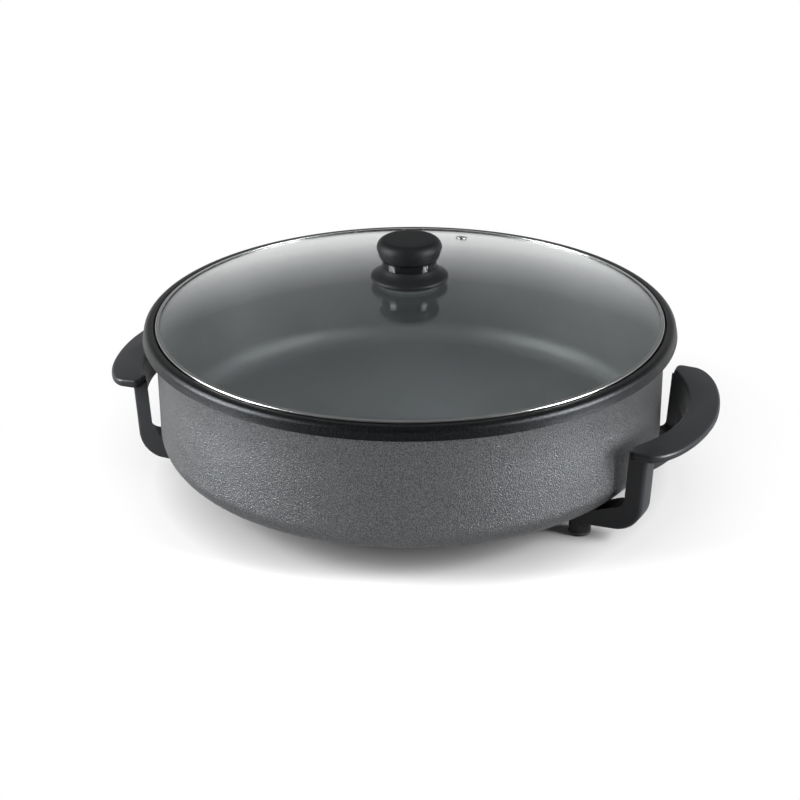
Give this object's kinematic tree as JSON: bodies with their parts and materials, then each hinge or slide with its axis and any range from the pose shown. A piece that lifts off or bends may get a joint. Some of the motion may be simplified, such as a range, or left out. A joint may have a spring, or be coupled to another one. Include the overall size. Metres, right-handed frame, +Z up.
{
  "type": "electric skillet",
  "caption": "Round electric skillet: deep pan with a turned-down rim, moulded side handles that form the feet, and a lift-off domed glass lid with a knob.",
  "frame": {"origin": "centre of the bounding box at its bottom: on the ground, on the pan's axis", "axes": "+X along the line of the two handles, +Y towards the power inlet under the pan, +Z up"},
  "size_m": [0.4944, 0.42, 0.197],
  "materials": {
    "coated_aluminium": "coated: grey hammered enamel outside, dark satin non-stick inside, near-black rim",
    "bare_aluminium": "cast, matt",
    "bright_steel": "bright, lightly brushed",
    "black_plastic": "satin, heat-resistant",
    "black_rubber": "matt",
    "clear_glass": "clear, tempered",
    "white_ceramic": "off-white unglazed ceramic",
    "brass": "plain",
    "grey_silicone": "matt silicone"
  },
  "bodies": {
    "pan": {"bottom_cover": "bright_steel", "cover_screw": "bright_steel", "element_clip_1": "bright_steel", "element_clip_2": "bright_steel", "element_clip_3": "bright_steel", "foot_cap_left_front": "black_rubber", "foot_cap_left_rear": "black_rubber", "foot_cap_right_front": "black_rubber", "foot_cap_right_rear": "black_rubber", "handle_left": "black_plastic", "handle_right": "black_plastic", "handle_screw_left_front": "bright_steel", "handle_screw_left_rear": "bright_steel", "handle_screw_right_front": "bright_steel", "handle_screw_right_rear": "bright_steel", "heating_element": "bright_steel", "inlet_guard": "bright_steel", "inlet_guard_screw_left": "bright_steel", "inlet_guard_screw_right": "bright_steel", "pan_shell": "coated_aluminium", "probe_sleeve": "bare_aluminium", "terminal_insulator_left": "white_ceramic", "terminal_insulator_right": "white_ceramic", "terminal_pin_left": "brass", "terminal_pin_right": "brass", "thermal_disc": "bare_aluminium"},
    "lid": {"lid_glass": "clear_glass", "lid_rim": "bright_steel", "steam_vent": "bright_steel", "knob": "black_plastic", "knob_insert": "brass", "knob_gasket": "grey_silicone", "lid_washer": "bright_steel", "lid_screw": "bright_steel"}
  },
  "joints": [
    {"name": "lid_lift", "type": "slide", "parent": "pan", "child": "lid", "axis": [0, 0, 1], "range_m": [0, 0.15]}
  ]
}
